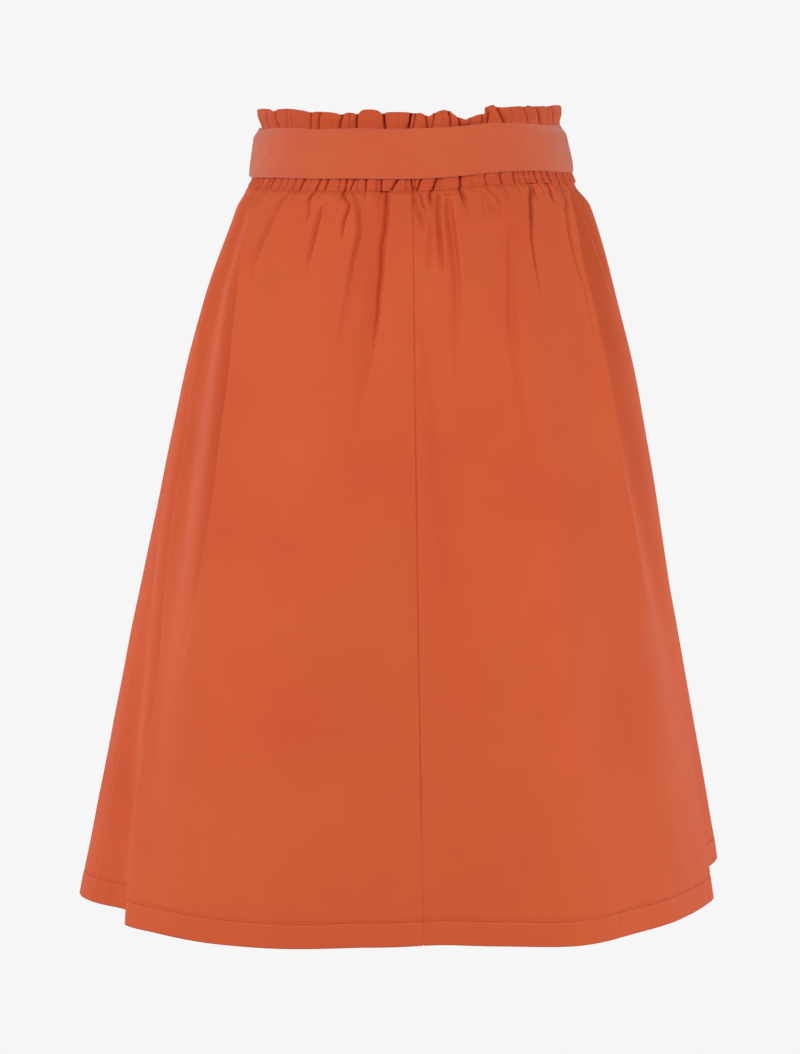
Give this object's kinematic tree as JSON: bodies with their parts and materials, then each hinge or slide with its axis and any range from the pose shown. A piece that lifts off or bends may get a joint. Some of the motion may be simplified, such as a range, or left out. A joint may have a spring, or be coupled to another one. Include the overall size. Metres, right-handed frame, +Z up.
{
  "type": "a-line skirt",
  "caption": "A-line skirt with a gathered elastic waist, a standing ruffle above it and a plain sash, in its worn, hollow form.",
  "frame": {"origin": "middle of the waist, at half the height of the sash and of the elastic casing under it, where the wearer holds the skirt", "axes": "+Z up the wearer's body, -Y out of the side with the centre seam, which the picture shows, +X to that picture's right"},
  "size_m": [0.5511, 0.4251, 0.6573],
  "materials": {
    "cotton": "matt burnt-orange cotton poplin",
    "sash_cotton": "matt burnt-orange cotton poplin, turned and pressed"
  },
  "bodies": {
    "root": {"back_left": "cotton", "back_right": "cotton", "front": "cotton", "waistband_back": "cotton", "waistband_front": "cotton", "sash": "sash_cotton"}
  },
  "joints": []
}
